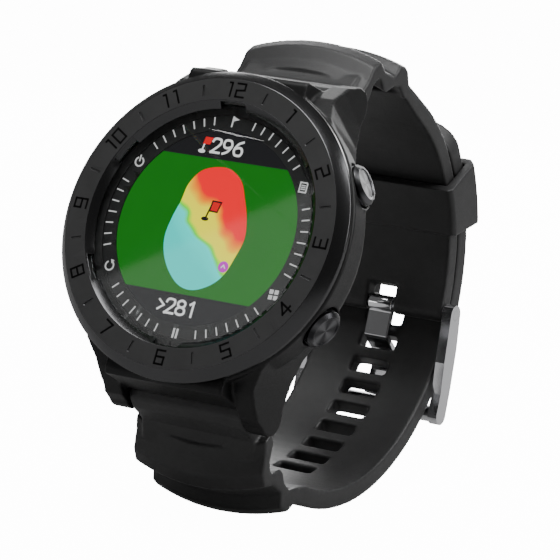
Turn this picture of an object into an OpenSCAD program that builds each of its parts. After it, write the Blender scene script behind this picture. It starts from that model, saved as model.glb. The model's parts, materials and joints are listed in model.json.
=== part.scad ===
// Golf GPS watch on a closed silicone strap, standing on its lower rib and its buckle.
// Every piece is drawn in the watch's own axes: +X to 3 o'clock, +Y to 12 o'clock,
// +Z out of the dial, with Z = 0 on the case back. stand() then sets it on its strap loop.

/* [Case] */
// Thickness from the case back to the top of the bezel
case_t = 14; // [13.5:0.5:14.5]
// Widest diameter of the case, just under the bezel
case_d = 47.4; // [47.2:0.2:48.6]
// Diameter of the case at its back
case_back_d = 39.8; // [39.6:0.2:40.4]
// Gap between the two lugs of a pair
lug_gap = 20; // [20:0.1:20.4]
// Distance from the case centre to each spring bar
lug_pitch = 23.9; // [23.8:0.1:24.4]
// Height of the spring bars above the case back
spring_bar_z = 1.3; // [1.2:0.1:1.6]
// Radius of the rounded lug ends
lug_r = 2.8; // [2.6:0.1:3]

/* [Bezel] */
// Outer diameter of the bezel
bezel_d = 47; // [46.6:0.2:47.2]
// Outer diameter of the bezel's flat numeral band
bezel_flat_d = 44; // [43:0.2:44.4]
// Inner diameter of the numeral band
bezel_inner_d = 37.4; // [37.2:0.1:38]
// Height of the bezel
bezel_h = 2.3; // [2.2:0.1:2.5]

/* [Display] */
// Diameter of the cover glass
glass_d = 36.8; // [36.4:0.1:36.9]
// Thickness of the cover glass
glass_t = 1; // [0.8:0.1:1]
// Diameter of the lit picture
picture_d = 29.6; // [28:0.2:30]

/* [Buttons] */
// Diameter of the button heads
button_d = 6.1; // [5.6:0.1:6.3]
// Travel of the buttons
button_travel = 0.5; // [0.3:0.1:0.6]
// Angle of each button above or below 3 o'clock
button_angle = 27.5; // [25:0.5:30]
// Height of the button axes above the case back
button_z = 7.4; // [7.3:0.1:7.5]

/* [Strap] */
// Width of the strap
strap_w = 22.6; // [22:0.2:23]
// Thickness of the long strap's band
long_t = 3; // [2.8:0.1:3]
// Thickness of the short strap's band
short_t = 2.8; // [2.6:0.1:2.8]
// Gap between the two bands where they overlap
layer_gap = 0.3; // [0.3:0.1:0.4]
// Distance from one adjusting slot to the next
slot_pitch = 4.6; // [4.4:0.1:4.8]
// Length of an adjusting slot along the strap
slot_l = 2.5; // [2.4:0.1:2.6]
// Width of an adjusting slot
slot_w = 6.4; // [6:0.1:7]

/* [Keeper and buckle] */
// Arc that the keeper covers, in degrees
keeper_arc = 18; // [16:1:18]
// Place of the keeper on the loop, in degrees below horizontal
keeper_at = 48; // [46:1:50]
// Radius of the buckle's crossbar
crossbar_r = 1.4; // [1.3:0.1:1.5]
// Width of the buckle's tongue
tongue_w = 4.2; // [3.8:0.1:4.6]

/* [Hidden] */
$fn = 96;
eps = 0.01;

// Colours
silicone = [0.10, 0.10, 0.11];
case_black = [0.15, 0.15, 0.16];
bezel_grey = [0.20, 0.20, 0.21];
polished = [0.80, 0.80, 0.82];
steel = [0.62, 0.63, 0.66];
board_green = [0.05, 0.30, 0.16];

// Heights inside the case, from the back
cover_t = 1.6;
cavity_r = 16.9;
board_z = 5;
board_t = 0.8;
board_r = 16.2;
frame_floor_z = 9;
panel_z = 10.1;
panel_t = 1.3;
panel_r = 15.6;
ledge_z = 11.2;
bezel_z = case_t - bezel_h;
glass_r = glass_d / 2;
glass_z = ledge_z + 0.6;
glass_clearance = 0.1;
opening_r = 17;
post_angles = [60, 180, 300];

// Strap loop: two circles that touch at the bottom, in [y, z]
loop_y = 2.4;
outer_r = 33.5;
loop_c = [loop_y, -19.5];
lower_r = 35.6;
lower_c = [loop_y, loop_c.y - outer_r + lower_r];
long_inner_r = outer_r - long_t;
short_outer_r = long_inner_r - layer_gap;
short_inner_r = short_outer_r - short_t;
tip_angle = -19;
short_straight_angle = -8.5;
arc_step = 3;
slots_to_lug = 7;
slots_to_tip = 7;
buckled_slot_s = -3.2;

// Ribs beside the lugs: outline at the strap's edge, in [y, z]
rib_outer = [
    [27, -2.4], [28.9, -3.4], [31.6, -4.1], [33.2, -5.7], [32.3, -7.9],
    [32.7, -11], [34.8, -12], [35.2, -13.6], [34.8, -14.8], [33.5, -15.9]
];
rib_inner = [
    [30.7, -15.9], [31.8, -13.4], [31.2, -11.6], [29.7, -9.9], [29.5, -8.8],
    [30.7, -7.2], [30.6, -6.4], [29.2, -5.4], [26.4, -5], [25.3, -3.5]
];
band_start = [[33.4, -15], [31.3, -15]];
neck = [
    [23.9, 3.7], [25.4, 3.5], [26.5, 1.8], [27.4, -1.6], [29.6, -3], [31, -4.6],
    [28.4, -4.8], [25.3, -3.5], [22.8, -0.9]
];
crown_axis_y = 3;
neck_w = lug_gap - 0.6;

// Spring bars
tube_r = 0.75;
tube_bore_r = 0.5;
tip_r = 0.45;
lug_hole_r = 0.49;
strap_bore_r = 0.8;
tube_l = lug_gap - 0.4;
tip_reach = 1.2;
tip_in = 3.4;

// Buttons, as distances from the case axis
head_in = 22.3;
head_out = 24.2;
pocket_floor = 21.2;
spring_floor = 19.8;
stem_r = 1.25;
stem_clearance = 0.05;
pusher_r = 0.9;
pusher_end = 16.1;
clip_out = 16.8;
clip_t = 0.35;
seal_at = 18;
seal_r = 0.28;
seal_track_r = 0.98;

// Buckle, in [y, z]
bar_angle = -84.2;
bar_c = loop_c + 28.8 * [cos(bar_angle), sin(bar_angle)];
bar_r = 0.8;
bar_loop_r = 1.75;
crossbar_c = [-10.3, -52.3];
arm_t = 1.6;
arm_in = strap_w / 2 + 0.4;
arm_out = arm_in + arm_t;
tongue_t = 1;

// Screws in the case back
back_ears = [11.7, 14.8];
ear_r = 1.9;

// Keeper: gap round the two bands, and thickness of its wall
keeper_slack = 0.28;
keeper_wall = 1.4;

// Stance: the crown of the lower rib and the band behind it both touch the ground
crown_y = crown_axis_y + sqrt(pow(35.2 - crown_axis_y, 2) + pow(strap_w / 2, 2));
crown_z = -13.6;
span = [lower_c.x + crown_y, lower_c.y - crown_z];
stand_tilt = asin(lower_r / norm(span)) - atan(span.y / span.x);
stand_z = crown_y * sin(stand_tilt) - crown_z * cos(stand_tilt);
back_y = loop_c.x * cos(stand_tilt) - loop_c.y * sin(stand_tilt)
    + (outer_r + keeper_slack + keeper_wall) * cos(stand_tilt - keeper_at - keeper_arc / 2);
front_y = -bezel_flat_d / 2 * cos(stand_tilt) - case_t * sin(stand_tilt);
stand_y = -(back_y + front_y) / 2;

function arc(c, r, a0, a1) =
    let (n = max(2, ceil(abs(a1 - a0) / arc_step)))
    [for (i = [0:n]) let (a = a0 + (a1 - a0) * i / n) c + r * [cos(a), sin(a)]];

// Sets the watch on its strap loop, in the row's axes
module stand() {
    translate([0, stand_y, stand_z]) rotate([stand_tilt, 0, 0]) children();
}

// Extrudes a [y, z] outline along X, centred
module across(w) {
    rotate([90, 0, 90]) linear_extrude(height = w, center = true) children();
}

// A cylinder along X, centred on a [y, z] point
module rod(c, r, l, x = 0) {
    translate([x, c.x, c.y]) rotate([0, 90, 0]) cylinder(r = r, h = l, center = true);
}

// Turns a [radius, x] section about the strap loop's axis, from angle a0 to a1
module around_loop(a0, a1) {
    translate([0, loop_c.x, loop_c.y]) rotate([0, 90, 0]) rotate([0, 0, a0 + 90])
        rotate_extrude(angle = a1 - a0) children();
}

// Places children on a button's axis: Z runs outward from the case axis
module on_button(side) {
    translate([0, 0, button_z]) rotate([0, 0, side * button_angle]) rotate([0, 90, 0]) children();
}

module both(v) {
    children();
    mirror(v) children();
}

module four_ways() {
    both([1, 0, 0]) both([0, 1, 0]) children();
}

// A coil spring along Z
module coil(r, wire_r, h, turns, sides = 6, steps = 14) {
    n = turns * steps;
    ring = [
        for (i = [0:n], k = [0:sides - 1])
            let (a = 360 * i / steps, b = 360 * k / sides, rr = r + wire_r * cos(b))
            [rr * cos(a), rr * sin(a), wire_r + (h - 2 * wire_r) * i / n + wire_r * sin(b)]
    ];
    walls = [
        for (i = [0:n - 1], k = [0:sides - 1])
            let (m = (k + 1) % sides)
            each [[i * sides + k, (i + 1) * sides + k, (i + 1) * sides + m],
                  [i * sides + k, (i + 1) * sides + m, i * sides + m]]
    ];
    caps = [[for (k = [0:sides - 1]) k], [for (k = [sides - 1:-1:0]) n * sides + k]];
    polyhedron(points = ring, faces = concat(walls, caps));
}

/* Case */

module barrel() {
    rotate_extrude()
        polygon([
            [0, 0], [case_back_d / 2 - 0.6, 0], [case_back_d / 2, 0.5], [21.4, 3], [22.9, 6],
            [case_d / 2 - 0.2, 10], [case_d / 2, bezel_z - 0.4], [case_d / 2 - 0.3, bezel_z],
            [0, bezel_z]
        ]);
}

// Outline of one lug at its foot and at its crown, seen from the dial
lug_foot = [[10, 8], [17, 9.5], [14.9, 13.8], [13.9, 17.4], [13.4, 21], [13.5, 26.7], [10, 26.7]];
lug_crown = [[10, 8], [20.5, 10.5], [17.1, 15.4], [14.8, 19.2], [13.4, 22.4], [13, 26.7], [10, 26.7]];
lug_foot_z = -2;
lug_crown_z = 11;

// A solid between two outlines with the same number of corners
module loft(low, high, z0, z1) {
    n = len(low);
    points = concat([for (p = low) [p.x, p.y, z0]], [for (p = high) [p.x, p.y, z1]]);
    sides = [for (i = [0:n - 1]) let (k = (i + 1) % n) each [[i, n + i, n + k], [i, n + k, k]]];
    ends = [[for (i = [0:n - 1]) i], [for (i = [n - 1:-1:0]) n + i]];
    polyhedron(points = points, faces = concat(sides, ends));
}

module lug_side() {
    polygon([
        [6, 0], [14, -0.4], [19, -1], [lug_pitch, spring_bar_z - lug_r],
        [lug_pitch + lug_r, spring_bar_z], [lug_pitch + 1.6, 4.8], [22.4, 8.6], [19, 11],
        [6, 11]
    ]);
    translate([lug_pitch, spring_bar_z]) circle(r = lug_r);
}

module lugs() {
    intersection() {
        four_ways() loft(lug_foot, lug_crown, lug_foot_z, lug_crown_z);
        both([0, 1, 0]) across(40) lug_side();
    }
}

// The straight wall between each pair of lugs, which hoods the strap's end
module hood() {
    both([0, 1, 0]) across(lug_gap + eps) difference() {
        polygon([[10, 0], [21, 0], [24.2, 4.2], [23.7, bezel_z - 0.4], [23, bezel_z], [10, bezel_z]]);
        translate([lug_pitch, spring_bar_z]) circle(r = 2.95);
    }
}

module button_guards() {
    for (turn = [0, 180], side = [-1, 1])
        rotate([0, 0, turn]) on_button(side) translate([0, 0, 15]) cylinder(r = 3.7, h = 7.9);
}

module back_shape(grow, h) {
    cylinder(r = 18.2 + grow, h = h);
    for (x = [-1, 1], y = [-1, 1])
        translate([x * back_ears.x, y * back_ears.y, 0]) cylinder(r = ear_r + grow, h = h);
}

module case_body() {
    color(case_black) difference() {
        union() {
            barrel();
            lugs();
            hood();
            intersection() {
                button_guards();
                cylinder(r = 30, h = bezel_z);
            }
        }
        // cavity, display opening and glass seat
        translate([0, 0, cover_t]) cylinder(r = cavity_r, h = 9.4 - cover_t);
        translate([0, 0, 9]) cylinder(r = opening_r, h = 6);
        translate([0, 0, ledge_z]) cylinder(r = glass_r + glass_clearance, h = 6);
        // recess for the back cover and its seal
        translate([0, 0, -5]) back_shape(0.1, 5 + cover_t);
        translate([0, 0, cover_t - eps]) rotate_extrude()
            translate([17.1, 0]) square([0.8, 0.6 + eps]);
        four_ways() translate([back_ears.x, back_ears.y, cover_t - eps]) cylinder(r = 0.72, h = 2.6);
        for (side = [-1, 1]) on_button(side) {
            cylinder(r = stem_r + stem_clearance, h = 40);
            translate([0, 0, pocket_floor]) cylinder(r = button_d / 2 + 0.3, h = 10);
            translate([0, 0, spring_floor]) cylinder(r = 1.95, h = 10);
        }
        both([0, 1, 0]) rod([lug_pitch, spring_bar_z], lug_hole_r, lug_gap + 2 * tip_reach + 0.6);
    }
}

module bezel_ring() {
    lip_r = bezel_inner_d / 2 - 1.1;
    color(bezel_grey) difference() {
        rotate_extrude()
            polygon([
                [lip_r, case_t - 1.1], [bezel_inner_d / 2, case_t], [bezel_flat_d / 2, case_t],
                [bezel_d / 2, case_t - 1.5], [bezel_d / 2, bezel_z],
                [glass_r + glass_clearance, bezel_z], [glass_r + glass_clearance, case_t - 1.1]
            ]);
        // widened window at each second hour, where the dial's symbols sit
        for (hour = [0:2:10]) rotate([0, 0, 90 - hour * 30])
            translate([lip_r - 0.6, -2.1, case_t - 0.95]) rotate([0, 45, 0]) cube([1.5, 4.2, 1.5]);
        for (tick = [0:11]) rotate([0, 0, tick * 30 + 15])
            translate([19.4, -0.11, case_t - 0.12]) cube([1.7, 0.22, 1]);
    }
}

module cover_glass() {
    color([0.1, 0.1, 0.12, 0.5]) translate([0, 0, glass_z]) cylinder(r = glass_r, h = glass_t);
}

module glass_gasket() {
    color("dimgray") translate([0, 0, ledge_z]) rotate_extrude()
        translate([opening_r + 0.05, 0]) square([glass_r - opening_r - 0.05, glass_z - ledge_z]);
}

module dial_ring() {
    color("black") translate([0, 0, panel_z + panel_t]) rotate_extrude()
        translate([picture_d / 2, 0]) square([16.9 - picture_d / 2, 0.3]);
}

module display_panel() {
    color([0.14, 0.45, 0.16]) translate([0, 0, panel_z]) cylinder(r = panel_r, h = panel_t);
}

module display_frame() {
    flex_slot = [7, 1.2];
    color("dimgray") difference() {
        union() {
            translate([0, 0, frame_floor_z]) cylinder(r = board_r, h = 0.7);
            translate([0, 0, 9.4]) cylinder(r = 16.9, h = ledge_z - 9.4);
            for (a = post_angles) rotate([0, 0, a])
                translate([14, 0, board_z + board_t]) cylinder(r = 1.4, h = 3.5);
        }
        translate([0, 0, panel_z]) cylinder(r = panel_r + 0.1, h = 5);
        translate([0, 0, 8]) cylinder(r = 8, h = 5);
        translate([-flex_slot.x / 2, -12.6, 8]) cube([flex_slot.x, flex_slot.y, 4]);
        for (a = post_angles) rotate([0, 0, a])
            translate([14, 0, 5]) cylinder(r = 0.52, h = 3.4);
    }
}

module display_flex() {
    color("chocolate") across(5) polygon([
        [-12.1, board_z + board_t], [-11.9, board_z + board_t], [-11.9, 6.6], [-12, 8.4],
        [-11.9, panel_z], [-12.1, panel_z], [-12.2, 8.4], [-12.1, 6.6]
    ]);
}

module main_board() {
    color(board_green) difference() {
        translate([0, 0, board_z]) cylinder(r = board_r, h = board_t);
        for (a = post_angles) rotate([0, 0, a])
            translate([14, 0, 0]) cylinder(r = 0.6, h = 10);
    }
}

module board_chips() {
    chips = [[-8, -3, 5, 5], [2, -2, 6, 4], [-2, -9, 4, 3], [7, -8, 3, 3], [9, 2, 2.5, 4]];
    color([0.2, 0.2, 0.22]) for (c = chips)
        translate([c[0], c[1], board_z - 0.6]) cube([c[2], c[3], 0.6]);
}

module board_screws() {
    color(steel) for (a = post_angles) rotate([0, 0, a]) translate([14, 0, 0]) {
        translate([0, 0, board_z - 0.5]) cylinder(r = 1, h = 0.5);
        translate([0, 0, board_z - eps]) cylinder(r = 0.5, h = 3.2);
    }
}

module battery() {
    size = [20, 16.6, 2.5];
    color("silver") translate([-size.x / 2, -13, 1.8]) cube(size);
}

module battery_leads() {
    color("firebrick") for (x = [-1, 1]) translate([x, 2.6, 4.3]) cylinder(r = 0.3, h = board_z - 4.3);
}

module gps_antenna() {
    size = [8.5, 8, 2.6];
    color("beige") translate([-size.x / 2, 7.3, board_z - size.z]) cube(size);
}

module vibration_motor() {
    color(steel) translate([-9.4, 8.8, board_z - 2.6]) cylinder(r = 3.4, h = 2.6);
}

/* Case back */

contact_y = 8;
contact_pitch = 2.54;

module contact_places() {
    for (i = [-1.5:1:1.5]) translate([i * contact_pitch, contact_y, 0]) children();
}

module back_cover() {
    color(case_black) difference() {
        back_shape(0, cover_t);
        contact_places() translate([0, 0, -1]) cylinder(r = 0.85, h = 4);
        four_ways() translate([back_ears.x, back_ears.y, -1]) {
            cylinder(r = 0.8, h = 4);
            cylinder(r = 1.4, h = 1.9);
        }
    }
}

module back_gasket() {
    color("dimgray") translate([0, 0, cover_t]) rotate_extrude()
        translate([17.2, 0]) square([0.6, 0.55]);
}

module back_screws() {
    color(steel) four_ways() translate([back_ears.x, back_ears.y, 0]) difference() {
        union() {
            translate([0, 0, 0.15]) cylinder(r = 1.3, h = 0.75);
            translate([0, 0, 0.8]) cylinder(r = 0.7, h = 3.2);
        }
        for (a = [0, 90]) rotate([0, 0, a]) translate([-0.8, -0.15, 0]) cube([1.6, 0.3, 0.5]);
    }
}

module charging_contacts() {
    color("gold") contact_places() cylinder(r = 0.8, h = 2.1);
}

/* Buttons, made once and placed above and below 3 o'clock */

module switch(side) {
    body = [3.4, 2.6, 2.8];
    color([0.12, 0.12, 0.13]) rotate([0, 0, side * button_angle]) difference() {
        translate([14.6 - body.y, -body.x / 2, board_z + board_t]) cube([body.y, body.x, body.z]);
        translate([12.6, 0, button_z]) rotate([0, 90, 0]) cylinder(r = 0.65, h = 4);
    }
}

module switch_plunger(side) {
    color("whitesmoke") on_button(side) translate([0, 0, 13.4]) cylinder(r = 0.6, h = pusher_end - 0.05 - 13.4);
}

module button(side) {
    groove_l = 0.7;
    color(case_black) on_button(side) difference() {
        rotate_extrude() polygon([
            [0, pusher_end], [pusher_r, pusher_end], [pusher_r, clip_out],
            [stem_r, clip_out], [stem_r, seal_at - groove_l / 2],
            [0.69, seal_at - groove_l / 2], [0.69, seal_at + groove_l / 2],
            [stem_r, seal_at + groove_l / 2], [stem_r, head_in],
            [button_d / 2 - 0.25, head_in], [button_d / 2, head_in + 0.25],
            [button_d / 2, head_out - 0.55], [button_d / 2 - 0.5, head_out],
            [button_d / 2 - 0.75, head_out], [button_d / 2 - 0.95, head_out - 0.15],
            [0, head_out - 0.15]
        ]);
        // groove round the rim of the head
        translate([0, 0, head_in + 0.75]) rotate_extrude()
            translate([button_d / 2 - 0.2, 0]) square([1, 0.25]);
    }
}

module button_spring(side) {
    color(steel) on_button(side) translate([0, 0, spring_floor + 0.03])
        coil(1.6, 0.16, head_in - spring_floor - 0.06, 4);
}

module button_seal(side) {
    color("black") on_button(side) translate([0, 0, seal_at]) rotate_extrude()
        translate([seal_track_r, 0]) circle(r = seal_r, $fn = 24);
}

module button_clip(side) {
    color(steel) on_button(side) translate([0, 0, clip_out - clip_t - 0.05]) difference() {
        cylinder(r = 1.45, h = clip_t);
        translate([0, 0, -1]) cylinder(r = pusher_r, h = 3);
        translate([0, -0.5, -1]) cube([3, 1, 3]);
    }
}

/* Spring bars */

module spring_bar(end) {
    color(steel) difference() {
        rod([end * lug_pitch, spring_bar_z], tube_r, tube_l);
        rod([end * lug_pitch, spring_bar_z], tube_bore_r, tube_l + 1);
    }
}

module spring_bar_tip(end, side) {
    reach = lug_gap / 2 + tip_reach;
    start = tube_l / 2 - tip_in;
    color(steel) rod([end * lug_pitch, spring_bar_z], tip_r, reach - start, side * (reach + start) / 2);
}

module spring_bar_springs(end) {
    l = tube_l / 2 - tip_in - 1.1;
    color(steel) for (side = [-1, 1])
        translate([side > 0 ? 1 : -1 - l, end * lug_pitch, spring_bar_z]) rotate([0, 90, 0])
            coil(0.36, 0.1, l, 9, 5, 10);
}

/* Strap */

// Ribs and neck beside the lugs, with the bore for the spring bar
module strap_root() {
    difference() {
        union() {
            intersection() {
                translate([0, crown_axis_y, 0]) rotate_extrude() polygon([
                    for (p = concat(rib_outer, rib_inner))
                        [sqrt(pow(p.x - crown_axis_y, 2) + pow(strap_w / 2, 2)), p.y]
                ]);
                translate([-strap_w / 2, 20, -20]) cube([strap_w, 30, 20]);
            }
            across(neck_w) polygon(neck);
            rod([lug_pitch, spring_bar_z], 2.4, neck_w);
        }
        rod([lug_pitch, spring_bar_z], strap_bore_r, 40);
    }
}

// Place on the long strap, by the distance s along it from the bottom of the loop
function along(s) =
    s < 0 ? [lower_c, 270 + s / (lower_r - long_t / 2) * 180 / PI, lower_r - long_t / 2]
          : [loop_c, 270 + s / (outer_r - long_t / 2) * 180 / PI, outer_r - long_t / 2];

function tip_outer(a) = outer_r - 1.5 * pow(max(0, a - (tip_angle - 14)) / 14, 2);

module adjusting_slots() {
    for (i = [-slots_to_lug:slots_to_tip]) {
        at = along(buckled_slot_s + i * slot_pitch);
        translate([0, at[0].x, at[0].y]) rotate([at[1], 0, 0]) translate([0, at[2], 0])
            cube([slot_w, long_t + 2, slot_l], center = true);
    }
}

module strap_long() {
    band = concat(
        [[-band_start[0].x, band_start[0].y]],
        arc(lower_c, lower_r, 182, 270),
        arc(loop_c, outer_r, 272, 360 + tip_angle - 14),
        [for (a = [tip_angle - 12:2:tip_angle - 1]) loop_c + tip_outer(a) * [cos(a), sin(a)]],
        [loop_c + (long_inner_r + 1) * [cos(tip_angle), sin(tip_angle)]],
        [loop_c + long_inner_r * [cos(tip_angle - 1), sin(tip_angle - 1)]],
        arc(loop_c, long_inner_r, 360 + tip_angle - 3, 270),
        arc(lower_c, lower_r - long_t, 268, 182),
        [[-band_start[1].x, band_start[1].y]]
    );
    color(silicone) {
        mirror([0, 1, 0]) strap_root();
        difference() {
            across(strap_w) polygon(band);
            adjusting_slots();
            // rounded corners of the free end
            translate([0, loop_c.x, loop_c.y]) rotate([tip_angle, 0, 0]) both([1, 0, 0])
                difference() {
                    translate([strap_w / 2 - 8, 20, -8]) cube([9, 20, 10]);
                    translate([strap_w / 2 - 8, 19, -8]) rotate([-90, 0, 0]) cylinder(r = 8, h = 22);
                }
        }
    }
}

module strap_short() {
    rise = [-sin(short_straight_angle), cos(short_straight_angle)];
    band = concat(
        band_start,
        arc(loop_c, short_inner_r, short_straight_angle, bar_angle),
        arc(loop_c, short_outer_r, bar_angle, short_straight_angle)
    );
    color(silicone) {
        strap_root();
        difference() {
            union() {
                across(strap_w) polygon(band);
                rod(bar_c, bar_loop_r - 0.35, strap_w);
            }
            rod(bar_c, bar_r + 0.05, strap_w + 2);
            // notch that lets the tongue swing
            translate([0, bar_c.x + 0.3, bar_c.y]) cube([5, 5.6, 12], center = true);
        }
    }
}

/* Keeper and buckle */

module keeper() {
    bevel = 1.1;
    wall = keeper_wall;
    r0 = short_inner_r - keeper_slack - wall;
    r1 = outer_r + keeper_slack + wall;
    w = strap_w / 2 + keeper_slack + wall;
    color(silicone) around_loop(-keeper_at - keeper_arc / 2, -keeper_at + keeper_arc / 2) difference() {
        polygon([
            [r0, -w + 0.5], [r0 + 0.5, -w], [r1 - bevel, -w], [r1, -w + bevel],
            [r1, w - bevel], [r1 - bevel, w], [r0 + 0.5, w], [r0, w - 0.5]
        ]);
        translate([r0 + wall, -w + wall]) square([r1 - r0 - 2 * wall, 2 * (w - wall)]);
    }
}

module buckle_bar() {
    color(polished) rod(bar_c, bar_r, 2 * arm_out);
}

// One arm's outline: round the bar, a slight bend, then round the crossbar
function arm_outline() =
    let (
        end_r = crossbar_r + 0.25,
        lean = atan2(bar_c.y - crossbar_c.y, bar_c.x - crossbar_c.x)
    )
    concat(
        arc(bar_c, 1.65, lean - 80, lean + 90),
        [[-2.6, -48.6], [-7.4, -50.2]],
        arc(crossbar_c, end_r, lean + 90, lean + 270),
        [[-5.6, -53.1], [0.6, -51.6]]
    );

module buckle_frame() {
    color(polished) {
        difference() {
            both([1, 0, 0]) translate([(arm_in + arm_out) / 2, 0, 0]) across(arm_t)
                polygon(arm_outline());
            rod(bar_c, bar_r + 0.03, 40);
        }
        rod(crossbar_c, crossbar_r, 2 * arm_out - 0.6);
    }
}

module buckle_tongue() {
    upper_side = [
        bar_c + [0, tongue_t / 2], [-0.13, -48.44], [-0.91, -50.01], [-1.79, -52.75],
        [-2.82, -53.9], crossbar_c + [-1.4, -crossbar_r - 0.2]
    ];
    lower_side = [
        crossbar_c + [-1.4, -crossbar_r - 0.2 - tongue_t], [-2.38, -54.9], [-0.91, -53.25],
        [0.01, -50.39], [0.53, -49.36], bar_c + [0, -tongue_t / 2]
    ];
    color(polished) difference() {
        union() {
            across(tongue_w) polygon(concat(upper_side, lower_side));
            rod(bar_c, bar_r + 0.55, tongue_w);
        }
        rod(bar_c, bar_r + 0.04, 40);
    }
}

stand() case_body();
stand() bezel_ring();
stand() cover_glass();
stand() glass_gasket();
stand() dial_ring();
stand() display_panel();
stand() display_frame();
stand() display_flex();
stand() main_board();
stand() board_chips();
stand() board_screws();
stand() battery();
stand() battery_leads();
stand() gps_antenna();
stand() vibration_motor();
stand() back_cover();
stand() back_gasket();
stand() back_screws();
stand() charging_contacts();
stand() switch(1);  // switch_upper
stand() switch(-1);  // switch_lower
stand() switch_plunger(1);  // switch_plunger_upper
stand() switch_plunger(-1);  // switch_plunger_lower
stand() button(1);  // button_upper
stand() button(-1);  // button_lower
stand() button_spring(1);  // button_spring_upper
stand() button_spring(-1);  // button_spring_lower
stand() button_seal(1);  // button_seal_upper
stand() button_seal(-1);  // button_seal_lower
stand() button_clip(1);  // button_clip_upper
stand() button_clip(-1);  // button_clip_lower
stand() spring_bar(1);  // spring_bar_top
stand() spring_bar(-1);  // spring_bar_bottom
stand() spring_bar_springs(1);  // spring_bar_top_springs
stand() spring_bar_springs(-1);  // spring_bar_bottom_springs
stand() spring_bar_tip(1, -1);  // spring_bar_top_tip_left
stand() spring_bar_tip(1, 1);  // spring_bar_top_tip_right
stand() spring_bar_tip(-1, -1);  // spring_bar_bottom_tip_left
stand() spring_bar_tip(-1, 1);  // spring_bar_bottom_tip_right
stand() strap_short();
stand() strap_long();
stand() keeper();
stand() buckle_bar();
stand() buckle_frame();
stand() buckle_tongue();
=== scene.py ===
"""Golf GPS watch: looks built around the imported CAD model.

Watch axes, in millimetres: +X to 3 o'clock, +Y to 12 o'clock, +Z out of the dial, Z = 0 on the
case back. WATCH turns them into the row frame in metres, as the CAD does.
"""

import json
import math

import bmesh
import bpy
from mathutils import Matrix, Vector


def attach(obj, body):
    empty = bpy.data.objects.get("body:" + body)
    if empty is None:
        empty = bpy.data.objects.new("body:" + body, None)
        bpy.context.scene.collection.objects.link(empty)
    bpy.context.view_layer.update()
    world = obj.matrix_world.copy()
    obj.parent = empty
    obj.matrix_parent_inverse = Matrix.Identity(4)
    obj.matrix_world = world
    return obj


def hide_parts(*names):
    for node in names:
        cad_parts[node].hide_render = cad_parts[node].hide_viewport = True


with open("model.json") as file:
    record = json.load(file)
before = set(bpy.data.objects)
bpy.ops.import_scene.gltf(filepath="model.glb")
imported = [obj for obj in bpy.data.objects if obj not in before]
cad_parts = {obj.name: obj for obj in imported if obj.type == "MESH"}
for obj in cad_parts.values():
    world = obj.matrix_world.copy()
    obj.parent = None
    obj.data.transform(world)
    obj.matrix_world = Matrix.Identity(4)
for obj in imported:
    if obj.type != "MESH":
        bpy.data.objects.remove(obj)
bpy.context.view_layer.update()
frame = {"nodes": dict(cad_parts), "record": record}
NODES = frame["nodes"]

# ---------------------------------------------------------------- the watch's place in the row
CASE_TOP = 14.0
BEZEL_FLAT_R = 22
LOOP_Y = 2.4
LOOP_Z = -19.5
LOOP_R = 33.5
LOWER_R = 35.6
LOWER_Z = LOOP_Z - LOOP_R + LOWER_R
STRAP_HALF = 11.3
KEEPER_OUT = 1.68
KEEPER_END = 57
CROWN_AXIS_Y = 3
CROWN_REACH = 35.2
CROWN_Y = CROWN_AXIS_Y + math.hypot(CROWN_REACH - CROWN_AXIS_Y, STRAP_HALF)
CROWN_Z = -13.6
SPAN = (LOOP_Y + CROWN_Y, LOWER_Z - CROWN_Z)
TILT = math.asin(LOWER_R / math.hypot(*SPAN)) - math.atan(SPAN[1] / SPAN[0])
STAND_Z = CROWN_Y * math.sin(TILT) - CROWN_Z * math.cos(TILT)
BACK_Y = (
    LOOP_Y * math.cos(TILT)
    - LOOP_Z * math.sin(TILT)
    + (LOOP_R + KEEPER_OUT) * math.cos(TILT - math.radians(KEEPER_END))
)
FRONT_Y = -BEZEL_FLAT_R * math.cos(TILT) - CASE_TOP * math.sin(TILT)
STAND_Y = -(BACK_Y + FRONT_Y) / 2
WATCH = (
    Matrix.Scale(0.001, 4)
    @ Matrix.Translation((0, STAND_Y, STAND_Z))
    @ Matrix.Rotation(TILT, 4, "X")
)
AXIS = Matrix.Rotation(TILT, 3, "X") @ Vector((0, 0, 1))


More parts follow.
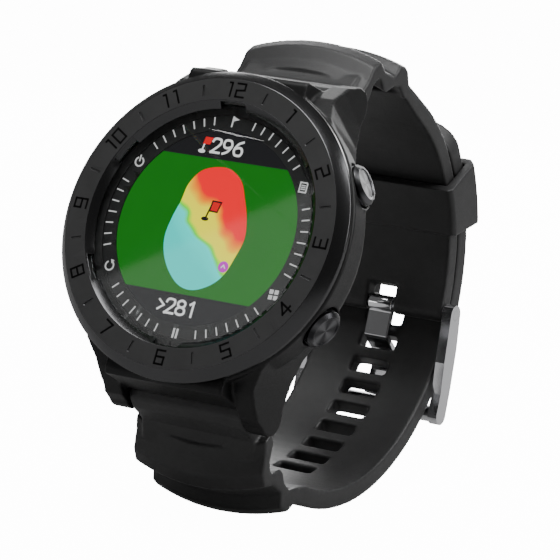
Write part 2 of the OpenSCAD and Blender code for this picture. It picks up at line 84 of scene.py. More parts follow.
# ---------------------------------------------------------------- materials
class Shader:
    """A node material being built, with short ways to add nodes."""

    def __init__(self, name):
        self.mat = bpy.data.materials.new(name)
        self.mat.use_nodes = True
        self.tree = self.mat.node_tree
        self.bsdf = self.tree.nodes["Principled BSDF"]
        self.out = self.tree.nodes["Material Output"]

    def node(self, kind, inputs=None, **props):
        n = self.tree.nodes.new(kind)
        for k, v in props.items():
            setattr(n, k, v)
        for k, v in (inputs or {}).items():
            if isinstance(v, bpy.types.NodeSocket):
                self.tree.links.new(v, n.inputs[k])
            else:
                n.inputs[k].default_value = v
        return n

    def set(self, **values):
        for k, v in values.items():
            socket = self.bsdf.inputs[k.replace("_", " ")]
            if isinstance(v, bpy.types.NodeSocket):
                self.tree.links.new(v, socket)
            else:
                socket.default_value = v
        return self

    def math(self, op, a, b=0.0):
        return self.node("ShaderNodeMath", {0: a, 1: b}, operation=op).outputs[0]

    def coords(self):
        return self.node("ShaderNodeTexCoord").outputs["Object"]

    def watch_coords(self):
        """Place in the watch's axes, in millimetres."""
        inv = WATCH.inverted()
        euler = inv.to_euler()
        turned = self.node(
            "ShaderNodeMapping",
            {
                "Vector": self.coords(),
                "Location": inv.translation,
                "Rotation": euler,
                "Scale": (1000, 1000, 1000),
            },
        )
        return turned.outputs[0]

    def noise(self, scale, detail=3.0, rough=0.55, vector=None, stretch=None):
        vec = vector or self.coords()
        if stretch:
            vec = self.node("ShaderNodeMapping", {"Vector": vec, "Scale": stretch}).outputs[0]
        return self.node(
            "ShaderNodeTexNoise",
            {"Vector": vec, "Scale": scale, "Detail": detail, "Roughness": rough},
        ).outputs["Fac"]

    def ramp(self, fac, stops, interpolation="LINEAR"):
        n = self.node("ShaderNodeValToRGB", {"Fac": fac})
        n.color_ramp.interpolation = interpolation
        while len(n.color_ramp.elements) < len(stops):
            n.color_ramp.elements.new(0.5)
        for e, (pos, col) in zip(n.color_ramp.elements, stops):
            e.position = pos
            e.color = col if len(col) == 4 else (*col, 1)
        return n.outputs["Color"]

    def map_range(self, value, lo, hi, to_lo, to_hi):
        return self.node(
            "ShaderNodeMapRange",
            {"Value": value, "From Min": lo, "From Max": hi, "To Min": to_lo, "To Max": to_hi},
        ).outputs[0]

    def bump(self, height, strength, distance, normal=None):
        inputs = {"Height": height, "Strength": strength, "Distance": distance}
        if normal is not None:
            inputs["Normal"] = normal
        return self.node("ShaderNodeBump", inputs).outputs[0]

    def mix(self, fac, a, b):
        n = self.node("ShaderNodeMix", {"Factor": fac}, data_type="RGBA")
        sides = {"A": a, "B": b}
        for socket in n.inputs:
            if socket.type != "RGBA":
                continue
            value = sides[socket.name]
            if isinstance(value, bpy.types.NodeSocket):
                self.tree.links.new(value, socket)
            else:
                socket.default_value = (*value, 1)
        return [o for o in n.outputs if o.type == "RGBA"][0]


def moulded(name, base, light, rough, grain, grain_scale, sheen=0.0, specular=0.5):
    """Moulded silicone or plastic: fine spark-eroded grain and soft mottling."""
    s = Shader(name)
    mottle = s.noise(260, 4)
    fine = s.noise(grain_scale, 2, 0.6)
    colour = s.ramp(mottle, [(0.3, base), (0.75, light)])
    roughness = s.map_range(fine, 0.3, 0.7, rough - 0.06, rough + 0.07)
    s.set(
        Base_Color=colour,
        Roughness=roughness,
        Specular_IOR_Level=specular,
        Normal=s.bump(fine, grain, 0.00006, s.bump(mottle, 0.12, 0.0002)),
    )
    if sheen:
        s.set(Sheen_Weight=sheen, Sheen_Roughness=0.45)
    return s.mat


def metal(name, colour, rough, brush=None, scratch=0.12):
    """Polished or brushed metal with faint scratches and a smudge or two."""
    s = Shader(name)
    smudge = s.noise(140, 4)
    lines = s.noise(900, 2, 0.7, stretch=brush or (1, 1, 1))
    s.set(
        Base_Color=s.ramp(smudge, [(0.35, tuple(c * 0.93 for c in colour)), (0.7, colour)]),
        Metallic=1.0,
        Roughness=s.map_range(smudge, 0.3, 0.7, rough, rough + 0.06),
        Normal=s.bump(lines, scratch, 0.00002),
    )
    return s.mat


def plain(name, a, b, rough, scale=900.0, metallic=0.0, bump=0.15):
    """Small inner parts: two close colours and a little texture."""
    s = Shader(name)
    n = s.noise(scale, 3)
    s.set(
        Base_Color=s.ramp(n, [(0.35, a), (0.7, b)]),
        Roughness=s.map_range(n, 0.3, 0.7, rough - 0.05, rough + 0.08),
        Metallic=metallic,
        Normal=s.bump(n, bump, 0.00005),
    )
    return s.mat


def glow(name, colour, strength=1.0, vary=0.03):
    """A colour that gives off light: the display's lit pixels under the glass, and also the white dial
    print, whose glow is painted light.
    """
    s = Shader(name)
    n = s.noise(300, 2)
    dim = tuple(max(0.0, c * (1 - vary)) for c in colour)
    shade = s.ramp(n, [(0.35, dim), (0.65, colour)])
    s.set(
        Base_Color=(0.002, 0.002, 0.002, 1),
        Emission_Color=shade,
        Emission_Strength=strength,
        Roughness=0.5,
        Specular_IOR_Level=0.0,
    )
    return s.mat


def ink(name, a, b, rough=0.5):
    mat = plain(name, a, b, rough, 1500)
    mat.node_tree.nodes["Principled BSDF"].inputs["Specular IOR Level"].default_value = 0.05
    return mat


SILICONE = moulded(
    "silicone", (0.019, 0.019, 0.0194), (0.025, 0.025, 0.0255), 0.46, 0.22, 5200, 0.08, 0.40
)
CASE = moulded(
    "case_plastic", (0.0045, 0.0045, 0.0047), (0.0065, 0.0065, 0.0068), 0.46, 0.16, 5200, 0.0, 0.26
)
STEEL = metal("steel", (0.55, 0.55, 0.57), 0.30, (1, 12, 1), 0.25)
CHROME = metal("polished_steel", (0.86, 0.86, 0.88), 0.07)
GOLD = metal("contact_gold", (0.85, 0.60, 0.24), 0.22)
SEAL = plain("rubber_seal", (0.012, 0.012, 0.012), (0.02, 0.02, 0.02), 0.6)
BOARD = plain("board", (0.008, 0.10, 0.045), (0.012, 0.15, 0.06), 0.35, 600)
CHIP = plain("chip", (0.012, 0.012, 0.013), (0.022, 0.022, 0.024), 0.5)
INNER = plain("inner_plastic", (0.05, 0.05, 0.052), (0.07, 0.07, 0.072), 0.5)
FOIL = plain("battery_foil", (0.50, 0.50, 0.52), (0.62, 0.62, 0.64), 0.32, 300, 1.0, 0.4)
CERAMIC = plain("ceramic", (0.66, 0.60, 0.48), (0.74, 0.68, 0.56), 0.4, 500)
FLEX = plain("flex", (0.28, 0.11, 0.02), (0.36, 0.16, 0.04), 0.3, 400)
WIRE = plain("wire", (0.42, 0.02, 0.01), (0.5, 0.03, 0.02), 0.45)
BLACK = plain("dial_print", (0.004, 0.004, 0.004), (0.007, 0.007, 0.007), 0.45, 1200)
ENGRAVED = ink("engraved_black", (0.001, 0.001, 0.001), (0.002, 0.002, 0.002), 0.6)
# The white dial print gives off light of its own here: painted light, since printed ink is no lamp.
WHITE_INK_PAINTED_GLOW = glow("white_print_painted_glow", (0.82, 0.82, 0.82), 0.85)
SCREEN_WHITE = glow("screen_white", (1.0, 1.0, 1.0), 1.05)
SCREEN_BLACK = glow("screen_black", (0.012, 0.012, 0.014), 1.0)
SCREEN_GREEN = glow("screen_green", (0.006, 0.19, 0.006), 1.0)
SCREEN_RED = glow("screen_red", (0.95, 0.012, 0.014), 1.0)
SCREEN_MAGENTA = glow("screen_magenta", (0.75, 0.01, 0.75), 1.0)


def bezel_material():
    """Matte dark grey band, polished dark chamfers: told apart by the slope of the surface."""
    s = Shader("bezel_metal")
    normal = s.node("ShaderNodeNewGeometry").outputs["True Normal"]
    facing = s.node(
        "ShaderNodeVectorMath", {0: normal, 1: tuple(AXIS)}, operation="DOT_PRODUCT"
    ).outputs["Value"]
    flat = s.map_range(facing, 0.95, 0.985, 0.0, 1.0)
    grain = s.noise(4200, 2, 0.6)
    mottle = s.noise(220, 3)
    band = s.ramp(mottle, [(0.3, (0.026, 0.026, 0.0264)), (0.7, (0.033, 0.033, 0.0335))])
    s.set(
        Base_Color=s.mix(flat, (0.075, 0.075, 0.077), band),
        Metallic=s.map_range(flat, 0.0, 1.0, 1.0, 0.1),
        Roughness=s.map_range(flat, 0.0, 1.0, 0.22, 0.52),
        Normal=s.bump(grain, 0.12, 0.00003),
    )
    return s.mat


def glass_material():
    """Clear glass that mirrors a little when faced and more at a slant, from either side."""
    s = Shader("glass")
    clear = s.node("ShaderNodeBsdfTransparent", {"Color": (0.97, 0.98, 0.98, 1)})
    gloss = s.node("ShaderNodeBsdfGlossy", {"Roughness": 0.04, "Color": (1, 1, 1, 1)})
    slant = s.node("ShaderNodeLayerWeight", {"Blend": 0.5}).outputs["Facing"]
    edge = s.math("MULTIPLY", s.math("POWER", slant, 5.0), 0.8)
    blend = s.node(
        "ShaderNodeMixShader",
        {0: s.math("ADD", edge, 0.035), 1: clear.outputs[0], 2: gloss.outputs[0]},
    )
    s.tree.links.new(blend.outputs[0], s.out.inputs["Surface"])
    return s.mat


def spun_material(side):
    """Button face turned on a lathe: rings in the surface, and painted highlight streaks that spread
    out from the centre, standing in for light caught by the rings.
    """
    s = Shader("button_metal_%s" % ("upper" if side > 0 else "lower"))
    place = s.watch_coords()
    turned = s.node(
        "ShaderNodeMapping",
        {"Vector": place, "Rotation": (0, 0, -side * BUTTON_ANGLE)},
    ).outputs[0]
    split = s.node("ShaderNodeSeparateXYZ", {0: turned})
    y = split.outputs["Y"]
    z = s.math("SUBTRACT", split.outputs["Z"], BUTTON_Z)
    radius = s.math("SQRT", s.math("ADD", s.math("MULTIPLY", y, y), s.math("MULTIPLY", z, z)))
    angle = s.math("ARCTAN2", z, y)
    rings = s.math("SINE", s.math("MULTIPLY", radius, 55.0))
    # Painted highlight: four bright streaks around the centre are painted into the metal's colour, in
    # place of light that the turned rings would catch.
    painted_streaks = s.math("SINE", s.math("MULTIPLY", s.math("ADD", angle, 0.6), 4.0))
    tone = s.map_range(painted_streaks, -1.0, 1.0, 0.0, 1.0)
    s.set(
        Base_Color=s.ramp(tone, [(0.1, (0.025, 0.025, 0.027)), (0.95, (0.13, 0.13, 0.135))]),
        Metallic=1.0,
        Roughness=0.30,
        Normal=s.bump(rings, 0.10, 0.00003),
    )
    return s.mat


def heat_material():
    """Slope colours on the putting green: cyan low ground, yellow, then red high ground."""
    s = Shader("screen_heat")
    place = s.watch_coords()
    warp = s.node(
        "ShaderNodeTexNoise", {"Vector": place, "Scale": 0.20, "Detail": 1.0}
    ).outputs["Fac"]
    split = s.node("ShaderNodeSeparateXYZ", {0: place})
    x = split.outputs["X"]
    y = split.outputs["Y"]
    rise = s.math("ADD", s.math("MULTIPLY", x, 0.074), s.math("MULTIPLY", y, 0.090))
    rise = s.math("ADD", rise, s.math("MULTIPLY", s.math("SUBTRACT", warp, 0.5), 0.75))
    level = s.math("ADD", rise, 0.52)
    colour = s.ramp(
        level,
        [
            (0.00, (0.0, 0.66, 0.60)),
            (0.30, (0.0, 0.80, 0.72)),
            (0.38, (0.06, 0.80, 0.01)),
            (0.47, (0.90, 0.86, 0.0)),
            (0.68, (0.95, 0.80, 0.0)),
            (0.84, (1.0, 0.22, 0.0)),
            (0.92, (0.92, 0.0, 0.01)),
        ],
    )
    s.set(
        Base_Color=(0.002, 0.002, 0.002, 1),
        Emission_Color=colour,
        Emission_Strength=1.5,
        Roughness=0.5,
        Specular_IOR_Level=0.0,
    )
    return s.mat


BUTTON_ANGLE = math.radians(27.5)
BUTTON_Z = 7.4
BEZEL = bezel_material()
GLASS = glass_material()
HEAT = heat_material()

FINISH = {
    "silicone": SILICONE,
    "case_plastic": CASE,
    "steel": STEEL,
    "polished_steel": CHROME,
    "contact_gold": GOLD,
    "rubber_seal": SEAL,
    "board": BOARD,
    "chip": CHIP,
    "inner_plastic": INNER,
    "battery_foil": FOIL,
    "ceramic": CERAMIC,
    "flex": FLEX,
    "wire": WIRE,
    "dial_print": BLACK,
    "bezel_metal": BEZEL,
    "glass": GLASS,
    "display": SCREEN_BLACK,
}


# ---------------------------------------------------------------- mesh helpers
def piece(name, verts, faces, mat, body="watch_case"):
    """A mesh given in watch millimetres, placed in the row and riding on a body."""
    mesh = bpy.data.meshes.new(name)
    mesh.from_pydata([WATCH @ Vector(v) for v in verts], [], faces)
    mesh.validate()
    obj = bpy.data.objects.new(name, mesh)
    bpy.context.scene.collection.objects.link(obj)
    bm = bmesh.new()
    bm.from_mesh(mesh)
    bmesh.ops.remove_doubles(bm, verts=bm.verts, dist=1e-7)
    bmesh.ops.recalc_face_normals(bm, faces=bm.faces)
    bm.to_mesh(mesh)
    bm.free()
    mesh.materials.append(mat)
    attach(obj, body)
    return obj


def slab(outline, z0, z1, verts, faces):
    """Adds a flat plate with the given outline between two heights."""
    base = len(verts)
    n = len(outline)
    verts += [(x, y, z0) for x, y in outline] + [(x, y, z1) for x, y in outline]
    faces.append(tuple(base + n + i for i in range(n)))
    faces.append(tuple(base + i for i in reversed(range(n))))
    for i in range(n):
        j = (i + 1) % n
        faces.append((base + i, base + j, base + n + j, base + n + i))


def stroke(points, width, closed=False):
    """The outlines of the plates that make one drawn line, one for each stretch, with square
    ends that overlap at the corners."""
    outlines = []
    pts = list(points) + ([points[0]] if closed else [])
    for (x0, y0), (x1, y1) in zip(pts, pts[1:]):
        length = math.hypot(x1 - x0, y1 - y0)
        if length < 1e-6:
            continue
        ux, uy = (x1 - x0) / length * width / 2, (y1 - y0) / length * width / 2
        outlines.append(
            [
                (x0 - ux + uy, y0 - uy - ux),
                (x1 + ux + uy, y1 + uy - ux),
                (x1 + ux - uy, y1 + uy + ux),
                (x0 - ux - uy, y0 - uy + ux),
            ]
        )
    return outlines


def curve(points, closed=False, steps=5):
    """Points along a smooth curve through the given ones."""
    n = len(points)
    out = []
    last = n if closed else n - 1
    for i in range(last):
        if closed:
            p = [points[(i + k - 1) % n] for k in range(4)]
        else:
            p = [points[min(max(i + k - 1, 0), n - 1)] for k in range(4)]
        for s in range(steps):
            t = s / steps
            out.append(
                tuple(
                    0.5
                    * (
                        2 * p[1][a]
                        + (p[2][a] - p[0][a]) * t
                        + (2 * p[0][a] - 5 * p[1][a] + 4 * p[2][a] - p[3][a]) * t * t
                        + (3 * p[1][a] - p[0][a] - 3 * p[2][a] + p[3][a]) * t**3
                    )
                    for a in (0, 1)
                )
            )
    if not closed:
        out.append(tuple(points[-1]))
    return out


def circle_points(r, n=24, a0=0.0, a1=360.0, centre=(0, 0)):
    full = abs(a1 - a0) >= 360
    count = n if full else n + 1
    return [
        (
            centre[0] + r * math.cos(math.radians(a0 + (a1 - a0) * i / n)),
            centre[1] + r * math.sin(math.radians(a0 + (a1 - a0) * i / n)),
        )
        for i in range(count)
    ]


def placed(outlines, x, y, turn=0.0, scale=1.0):
    """Outlines moved to a place, turned (in degrees) and scaled."""
    c, s = math.cos(math.radians(turn)), math.sin(math.radians(turn))
    return [
        [(x + scale * (px * c - py * s), y + scale * (px * s + py * c)) for px, py in o]
        for o in outlines
    ]


def plates(name, outlines, z0, z1, mat, body="watch_case"):
    verts, faces = [], []
    for o in outlines:
        slab(o, z0, z1, verts, faces)
    return piece(name, verts, faces, mat, body)


# Squarish numerals on a 1 wide, 1.5 high cell centred on the origin
W, H = 0.5, 0.75
NUMERAL = {
    "0": [[(-W, -H), (W, -H), (W, H), (-W, H), (-W, -H)]],
    "1": [[(-0.2, H), (0.1, H), (0.1, -H)]],
    "2": [[(-W, H), (W, H), (W, 0.05), (-W, -0.05), (-W, -H), (W, -H)]],
    "3": [[(-W, H), (W, H), (W, -H), (-W, -H)], [(-0.3, 0), (W, 0)]],
    "4": [[(0.25, -H), (0.25, H), (-W - 0.1, -0.3), (W + 0.1, -0.3)]],
    "5": [[(W, H), (-W, H), (-W, 0.05), (W, 0.05), (W, -H), (-W, -H)]],
    "6": [[(W, H), (-W, H), (-W, -H), (W, -H), (W, 0.05), (-W, 0.05)]],
    "7": [[(-W, H), (W, H), (0.0, -H)]],
    "8": [[(-W, -H), (W, -H), (W, H), (-W, H), (-W, -H)], [(-W, 0), (W, 0)]],
    "9": [[(-W, -H), (W, -H), (W, H), (-W, H), (-W, -0.05), (W, -0.05)]],
}

# Round numerals for the lit display
ROUND = {
    "1": [[(-0.25, 0.5), (0.1, H), (0.1, -H)]],
    "2": [
        curve([(-W, 0.42), (-0.35, 0.68), (0, H), (0.38, 0.66), (0.47, 0.36), (0.3, 0.02), (-W, -H)])
        + [(W, -H)]
    ],
    "6": [
        curve([(0.38, H), (-0.1, 0.5), (-0.42, 0.05), (-0.48, -0.35), (-0.3, -0.68), (0, -H)])
        + curve([(0, -H), (0.34, -0.68), (0.48, -0.33), (0.34, 0.02), (0, 0.1), (-0.34, -0.02)])
    ],
    "8": [
        curve([(0, 0.04), (0.36, 0.2), (0.38, 0.55), (0, H), (-0.38, 0.55), (-0.36, 0.2)], True),
        curve([(0, 0.04), (0.44, -0.16), (0.44, -0.58), (0, -H), (-0.44, -0.58), (-0.44, -0.16)], True),
    ],
    "9": [
        curve([(-0.38, -H), (0.1, -0.5), (0.42, -0.05), (0.48, 0.35), (0.3, 0.68), (0, H)])
        + curve([(0, H), (-0.34, 0.68), (-0.48, 0.33), (-0.34, -0.02), (0, -0.1), (0.34, 0.02)])
    ],
}


def lettering(text, font, width, pitch):
    """Stroke outlines of a row of numerals, centred."""
    outlines = []
    start = -(len(text) - 1) * pitch / 2
    for i, ch in enumerate(text):
        for line in font[ch]:
            closed = line[0] == line[-1]
            for o in stroke(line[:-1] if closed else line, width, closed):
                outlines.append([(px + start + i * pitch, py) for px, py in o])
    return outlines


# ---------------------------------------------------------------- the CAD nodes' finish
SOFT_EDGE = {
    "bezel_ring": 0.00007,
    "buckle_frame": 0.00028,
    "buckle_tongue": 0.00022,
    "button_upper": 0.00008,
    "button_lower": 0.00008,
}
slots = {s["node"]: s["material_slot"] for s in frame["record"]["subparts"]}
for name, obj in NODES.items():
    finish = FINISH.get(slots[name], CASE)
    if slots[name] == "button_metal":
        finish = spun_material(1 if "upper" in name else -1)
    obj.data.materials.clear()
    obj.data.materials.append(finish)
    weld = obj.modifiers.new("weld", "WELD")
    weld.merge_threshold = 2e-6
    if name in SOFT_EDGE:
        edge = obj.modifiers.new("edge", "BEVEL")
        edge.width = SOFT_EDGE[name]
        edge.segments = 3
        edge.limit_method = "ANGLE"
        edge.angle_limit = math.radians(28)
        edge.use_clamp_overlap = True
        edge.harden_normals = False


def moulded_copy(node, name, body, voxel, rounds, mat):
    """A soft moulding: the CAD solid remeshed finely, with its edges rounded off."""
    source = NODES[node]
    mesh = source.data.copy()
    mesh.name = name
    obj = bpy.data.objects.new(name, mesh)
    bpy.context.scene.collection.objects.link(obj)
    weld = obj.modifiers.new("weld", "WELD")
    weld.merge_threshold = 2e-6
    remesh = obj.modifiers.new("remesh", "REMESH")
    remesh.mode = "VOXEL"
    remesh.voxel_size = voxel
    remesh.adaptivity = 0.0
    smooth = obj.modifiers.new("smooth", "SMOOTH")
    smooth.factor = 0.5
    smooth.iterations = rounds
    bpy.context.view_layer.update()
    depsgraph = bpy.context.evaluated_depsgraph_get()
    result = bpy.data.meshes.new_from_object(obj.evaluated_get(depsgraph))
    result.name = name
    obj.modifiers.clear()
    obj.data = result
    bpy.data.meshes.remove(mesh)
    result.materials.clear()
    result.materials.append(mat)
    for p in result.polygons:
        p.use_smooth = True
    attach(obj, body)
    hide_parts(node)
    return obj


moulded_copy("strap_long", "strap_long_moulding", "long_strap", 0.00026, 5, SILICONE)
moulded_copy("strap_short", "strap_short_moulding", "short_strap", 0.00026, 5, SILICONE)
moulded_copy("keeper", "keeper_moulding", "strap_keeper", 0.00022, 6, SILICONE)
moulded_copy("case_body", "case_moulding", "watch_case", 0.0002, 5, CASE)

# ---------------------------------------------------------------- bezel numerals
BAND_R = 20.35
NUMERAL_SIZE = 1.35
NUMERAL_STROKE = 0.21
NUMERAL_PITCH = 1.28
ENGRAVING = 0.02
for hour in range(1, 13):
    angle = 90 - hour * 30
    inward = hour in (4, 5, 6, 7, 8)
    turn = angle - 90 + (180 if inward else 0)
    x = BAND_R * math.cos(math.radians(angle))
    y = BAND_R * math.sin(math.radians(angle))
    outlines = lettering(str(hour), NUMERAL, NUMERAL_STROKE, NUMERAL_PITCH)
    plates(
        "bezel_numeral_%d" % hour,
        placed(outlines, x, y, turn, NUMERAL_SIZE),
        CASE_TOP - ENGRAVING,
        CASE_TOP + ENGRAVING,
        ENGRAVED,
    )

# ---------------------------------------------------------------- dial marks under the glass
MARK_Z = 11.74
MARK_T = 0.03
TICK_IN = 15.65
MIDDLE_TICK_IN = 15.5
TICK_OUT = 16.7
ICON_R = 16.15
ticks = []
for sector in range(6):
    for i in range(7):
        angle = math.radians(90 - sector * 60 - 12 - i * 6)
        c, s = math.cos(angle), math.sin(angle)
        a = MIDDLE_TICK_IN if i == 3 else TICK_IN
        ticks += stroke([(a * c, a * s), (TICK_OUT * c, TICK_OUT * s)], 0.2)
# These printed ticks glow: painted light.
plates("dial_ticks", ticks, MARK_Z, MARK_Z + MARK_T, WHITE_INK_PAINTED_GLOW)


def dial_icon(name, hour, outlines, scale=1.0, upright=False):
    angle = 90 - hour * 30
    x = ICON_R * math.cos(math.radians(angle))
    y = ICON_R * math.sin(math.radians(angle))
    turn = 0 if upright else angle - 90
    marks = placed(outlines, x, y, turn, scale)
    # The printed icons glow: painted light.
    plates(name, marks, MARK_Z, MARK_Z + MARK_T, WHITE_INK_PAINTED_GLOW)


pennant = stroke([(-0.35, 0.75), (-0.35, -0.75)], 0.26)
pennant += [[(-0.3, 0.8), (0.75, 0.42), (-0.3, 0.05)]]
dial_icon("mark_twelve", 12, pennant, 0.95)
card = stroke([(-0.6, -0.75), (0.6, -0.75), (0.6, 0.75), (-0.6, 0.75)], 0.22, True)
card += stroke([(-0.28, 0.3), (0.28, 0.3)], 0.18) + stroke([(-0.28, 0), (0.28, 0)], 0.18)
card += stroke([(-0.28, -0.3), (0.28, -0.3)], 0.18)
dial_icon("mark_scorecard", 2, card, 0.95, True)
squares = [
    [(x - 0.32, y - 0.32), (x + 0.32, y - 0.32), (x + 0.32, y + 0.32), (x - 0.32, y + 0.32)]
    for x in (-0.42, 0.42)
    for y in (-0.42, 0.42)
]
dial_icon("mark_menu", 4, squares, 1.0, True)
bars = stroke([(-0.3, -0.6), (-0.3, 0.6)], 0.34) + stroke([(0.3, -0.6), (0.3, 0.6)], 0.34)
dial_icon("mark_pause", 6, bars, 0.95)
back = stroke(circle_points(0.68, 18, 60, -230), 0.22)
back += [[(0.0, 0.98), (0.62, 0.88), (0.22, 0.36)]]
dial_icon("mark_back", 8, back, 1.0, True)
power = stroke(circle_points(0.68, 18, 125, 415), 0.22) + stroke([(0, 0.15), (0, 0.95)], 0.22)
dial_icon("mark_power", 10, power, 1.0, True)

# ---------------------------------------------------------------- the lit picture
SCREEN_R = 14.78
SCREEN_Z = 11.42
LAYERS = (0.0, 0.04, 0.07, 0.09, 0.11)
TOP_CHORD = 10.3
LOW_CHORD = -10.3


def lit(name, outlines, layer, mat):
    """Part of the lit picture. Each layer lies on the one before it."""
    plates(name, outlines, SCREEN_Z + LAYERS[layer], SCREEN_Z + LAYERS[layer + 1], mat)


def chord_segment(level, upper):
    a = math.degrees(math.asin(level / SCREEN_R))
    start, end = (a, 180 - a) if upper else (180 - a, 360 + a)
    return circle_points(SCREEN_R, 40, start, end)


def green_zone():
    a = math.degrees(math.asin(TOP_CHORD / SCREEN_R))
    b = math.degrees(math.asin(LOW_CHORD / SCREEN_R))
    return circle_points(SCREEN_R, 24, b, a) + circle_points(SCREEN_R, 24, 180 - a, 180 - b)


lit("screen_fairway", [green_zone()], 0, SCREEN_GREEN)
lit("screen_top_bar", [chord_segment(TOP_CHORD, True)], 0, SCREEN_BLACK)
lit("screen_low_bar", [chord_segment(LOW_CHORD, False)], 0, SCREEN_BLACK)

GREEN_EDGE = [
    (-1.0, 7.9),
    (1.2, 7.9),
    (3.2, 6.6),
    (4.4, 4.4),
    (5.4, 2.0),
    (5.9, -0.6),
    (5.3, -3.2),
    (4.4, -5.6),
    (2.9, -7.2),
    (0.6, -8.2),
    (-1.6, -7.9),
    (-3.6, -6.3),
    (-5.0, -4.2),
    (-5.6, -1.9),
    (-5.3, 0.6),
    (-4.7, 2.9),
    (-4.3, 5.2),
    (-3.0, 7.1),
]
GREEN_SPREAD = (1.14, 1.15)
green = [[(x * GREEN_SPREAD[0], y * GREEN_SPREAD[1]) for x, y in curve(GREEN_EDGE, True, 6)]]
lit("screen_putting_green", green, 1, HEAT)
pin = stroke([(-0.55, 1.3), (0.05, 4.0)], 0.26)
pin += [[(px * 0.62 - 0.6, py * 0.31 + 1.25) for px, py in circle_points(1.0, 20)]]
pin += [[(-0.15, 4.15), (-0.35, 2.4), (1.2, 2.35), (1.55, 4.1)]]
lit("screen_pin", pin, 2, SCREEN_BLACK)
flag = [[(0.1, 3.92), (-0.05, 2.62), (1.05, 2.57), (1.3, 3.87)]]
lit("screen_pin_flag", flag, 3, SCREEN_RED)
marker = [circle_points(0.85, 28, centre=(4.6, -5.3))]
lit("screen_front_marker", marker, 2, SCREEN_MAGENTA)
arrow = placed(stroke([(-0.3, -0.1), (0, 0.3), (0.3, -0.1)], 0.17), 4.6, -5.35)
lit("screen_front_marker_arrow", arrow, 3, SCREEN_WHITE)

DIGIT_SIZE = 1.40
DIGIT_STROKE = 0.24
upper = placed(lettering("296", ROUND, DIGIT_STROKE, 1.35), -0.2, 12.3, 0, DIGIT_SIZE)
lower = placed(lettering("281", ROUND, DIGIT_STROKE, 1.30), -0.4, -12.3, 0, DIGIT_SIZE)
lit("screen_distance_to_pin", upper, 1, SCREEN_WHITE)
lit("screen_distance_to_front", lower, 1, SCREEN_WHITE)
stick = stroke([(-4.3, 11.3), (-4.0, 13.1)], 0.24)
stick += [[(px * 0.6 - 4.3, py * 0.3 + 11.2) for px, py in circle_points(1.0, 18)]]
lit("screen_top_pin", stick, 1, SCREEN_WHITE)
top_flag = [[(-4.2, 13.4), (-4.4, 12.3), (-3.2, 12.3), (-2.9, 13.4)]]
lit("screen_top_flag", top_flag, 2, SCREEN_RED)
chevron = placed(stroke([(-0.5, -0.7), (0.4, 0), (-0.5, 0.7)], 0.3), -3.7, -12.3)
lit("screen_front_symbol", chevron, 1, SCREEN_WHITE)

# ---------------------------------------------------------------- floor, camera, light
REACH = 6.0
WALL_AT = 0.9
SWEEP = 0.5
profile = [(-REACH, 0.0), (WALL_AT, 0.0)]
for k in range(1, 13):
    a = math.radians(90 * k / 12)
    profile.append((WALL_AT + SWEEP * math.sin(a), SWEEP * (1 - math.cos(a))))
profile.append((WALL_AT + SWEEP, REACH))
floor_verts = [(x, y, z) for y, z in profile for x in (-REACH, REACH)]
floor_faces = [(2 * k, 2 * k + 1, 2 * k + 3, 2 * k + 2) for k in range(len(profile) - 1)]
floor_mesh = bpy.data.meshes.new("floor")
floor_mesh.from_pydata(floor_verts, [], floor_faces)
floor = bpy.data.objects.new("floor", floor_mesh)
bpy.context.scene.collection.objects.link(floor)
for p in floor_mesh.polygons:
    p.use_smooth = True

SEEN_WHITE = 14.0
UNSEEN_GREY = 0.10
pale = Shader("floor")
pale.set(
    Base_Color=pale.ramp(pale.noise(6, 2), [(0.3, (0.24, 0.24, 0.24)), (0.7, (0.26, 0.26, 0.26))]),
    Roughness=0.9,
    Specular_IOR_Level=0.0,
)
path = pale.node("ShaderNodeLightPath")
seen = pale.map_range(path.outputs["Is Camera Ray"], 0.0, 1.0, UNSEEN_GREY, SEEN_WHITE)
shine = pale.node("ShaderNodeEmission", {"Color": (1, 1, 1, 1), "Strength": seen})
both = pale.node("ShaderNodeAddShader", {0: pale.bsdf.outputs[0], 1: shine.outputs[0]})
pale.tree.links.new(both.outputs[0], pale.out.inputs["Surface"])
floor_mesh.materials.append(pale.mat)

AZ = math.radians(30.72)
EL = math.radians(17.36)
FITTED_TILT = math.radians(58.82)
FITTED_DISTANCE = 423.0
OFFSET_RIGHT = 11.82
OFFSET_UP = -8.30
turn = Matrix.Rotation(TILT - FITTED_TILT, 3, "X")
back_dir = Vector((math.sin(AZ) * math.cos(EL), -math.cos(AZ) * math.cos(EL), math.sin(EL)))
right_dir = Vector((math.cos(AZ), math.sin(AZ), 0))
up_dir = back_dir.cross(right_dir)
right_w, up_w, back_w = turn @ right_dir, turn @ up_dir, turn @ back_dir
dial_centre = WATCH @ Vector((0, 0, CASE_TOP))
camera_data = bpy.data.cameras.new("camera")
camera_data.sensor_width = 36
camera_data.lens = 36 * 2936 / 560
camera_data.clip_start = 0.01
camera_data.clip_end = 20
camera = bpy.data.objects.new("camera", camera_data)
bpy.context.scene.collection.objects.link(camera)
spot = dial_centre + 0.001 * (
    OFFSET_RIGHT * right_w + OFFSET_UP * up_w + FITTED_DISTANCE * back_w
)
rot = Matrix((right_w, up_w, back_w)).transposed()
camera.matrix_world = Matrix.Translation(spot) @ rot.to_4x4()
bpy.context.scene.camera = camera


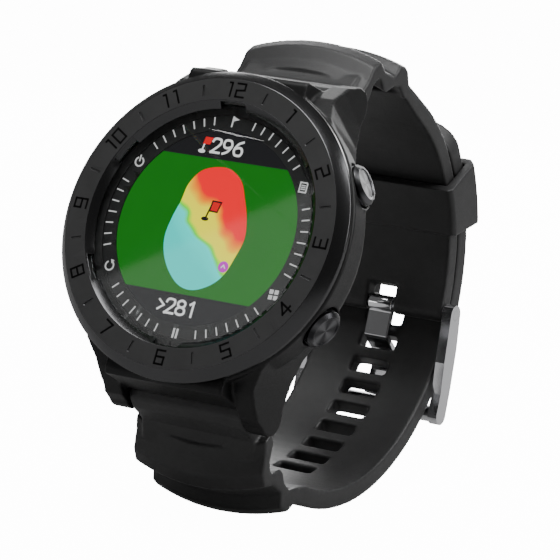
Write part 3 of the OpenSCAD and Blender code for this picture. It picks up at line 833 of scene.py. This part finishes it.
def softbox(name, direction, distance, size, power, tone=(1, 1, 1)):
    """A rectangular light that faces the watch from a direction given in camera terms:
    right, up and towards the camera."""
    way = (right_w * direction[0] + up_w * direction[1] + back_w * direction[2]).normalized()
    data = bpy.data.lights.new(name, "AREA")
    data.shape = "RECTANGLE"
    data.size, data.size_y = size
    data.energy = power
    data.color = tone
    lamp = bpy.data.objects.new(name, data)
    bpy.context.scene.collection.objects.link(lamp)
    lamp.location = Vector((0, 0, 0.035)) + way * distance
    lamp.rotation_euler = (-way).to_track_quat("-Z", "Y").to_euler()
    return lamp


softbox("key", (-0.1, 1.0, 0.35), 0.55, (0.36, 0.30), 3.4)
softbox("side", (1.0, 0.50, 0.30), 0.55, (0.16, 0.50), 2.6)
softbox("fill", (-1.0, -0.25, 0.25), 0.60, (0.25, 0.50), 0.9)
softbox("rim", (0.3, 0.6, -1.0), 0.60, (0.50, 0.40), 4.0)


GLASS_TOP = 12.8
GLARE_REACH = 350
GLARE_LEVEL = 0.8


def glare_card(corners, reach, level):
    """A dim card that the glass mirrors into the camera over one part of the dial, given by its
    corners in watch millimetres."""
    eye = WATCH.inverted() @ spot
    mirrored = Vector((eye.x, eye.y, 2 * GLASS_TOP - eye.z))
    points = []
    for x, y in corners:
        ray = (Vector((x, y, GLASS_TOP)) - mirrored).normalized()
        points.append(WATCH @ (Vector((x, y, GLASS_TOP)) + ray * reach))
    mesh = bpy.data.meshes.new("glare_card")
    mesh.from_pydata(points, [], [tuple(range(len(points)))])
    card = bpy.data.objects.new("glare_card", mesh)
    bpy.context.scene.collection.objects.link(card)
    s = Shader("glare_card")
    light = s.node("ShaderNodeEmission", {"Color": (1, 1, 1, 1), "Strength": level})
    s.tree.links.new(light.outputs[0], s.out.inputs["Surface"])
    mesh.materials.append(s.mat)


glare_card([(-17, -12), (17, 9), (24, -8), (4, -26)], GLARE_REACH, GLARE_LEVEL)

world = bpy.data.worlds.new("studio")
bpy.context.scene.world = world
world.use_nodes = True
sky = world.node_tree
sky_path = sky.nodes.new("ShaderNodeLightPath")
sky_level = sky.nodes.new("ShaderNodeMapRange")
sky_level.inputs["To Min"].default_value = UNSEEN_GREY
sky_level.inputs["To Max"].default_value = SEEN_WHITE
sky.links.new(sky_path.outputs["Is Camera Ray"], sky_level.inputs["Value"])
sky.nodes["Background"].inputs["Color"].default_value = (1, 1, 1, 1)
sky.links.new(sky_level.outputs[0], sky.nodes["Background"].inputs["Strength"])
